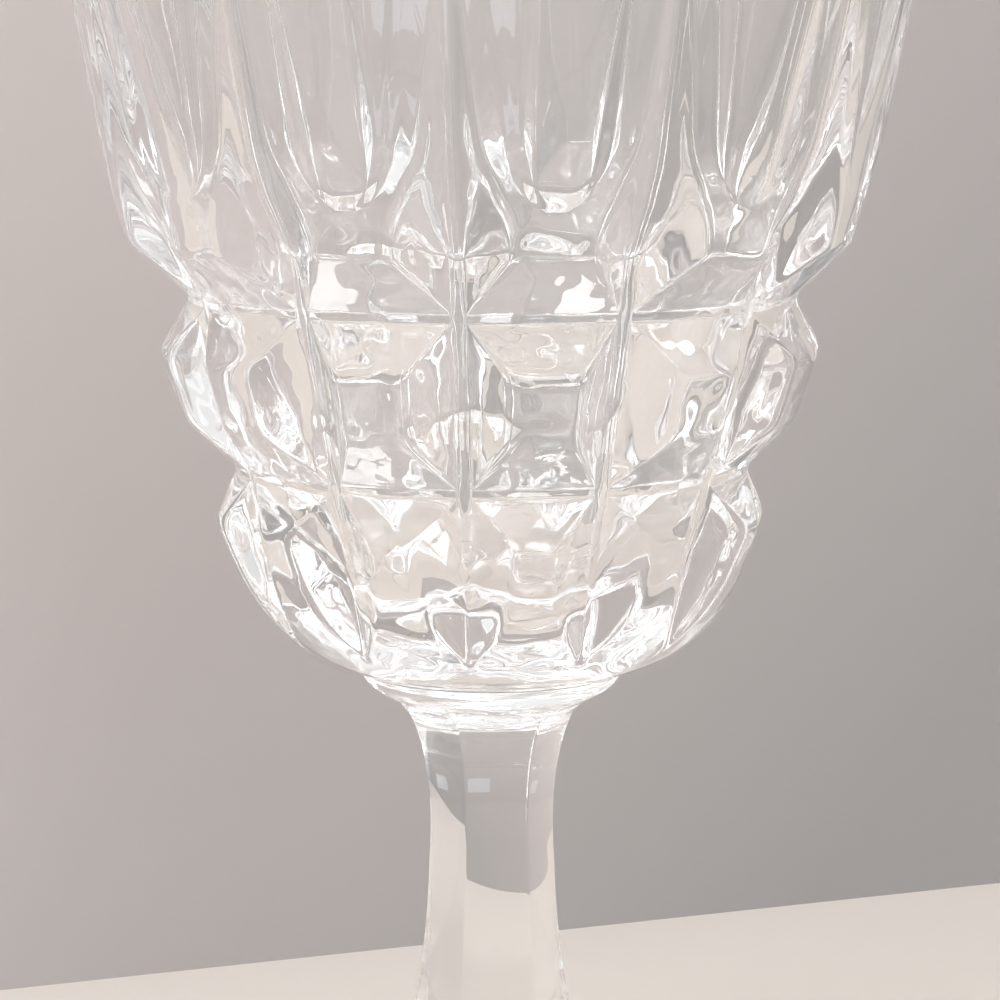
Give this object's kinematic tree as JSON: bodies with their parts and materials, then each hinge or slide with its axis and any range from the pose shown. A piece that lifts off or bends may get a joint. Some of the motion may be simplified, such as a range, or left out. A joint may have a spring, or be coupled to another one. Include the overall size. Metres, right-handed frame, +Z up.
{
  "type": "crystal wine glass",
  "caption": "Stemmed crystal wine glass: a flared bowl with a cut block pattern and long spears, a thin merese, a waisted six-sided stem and a round foot.",
  "frame": {"origin": "centre of the foot on the plane it rests on", "axes": "+Z up along the axis of the glass, -Y faces the centre of one column of blocks"},
  "size_m": [0.08, 0.08, 0.1395],
  "materials": {
    "crystal": "clear fire-polished crystal"
  },
  "bodies": {
    "root": {"bowl": "crystal", "merese": "crystal", "stem": "crystal", "foot": "crystal"}
  },
  "joints": []
}
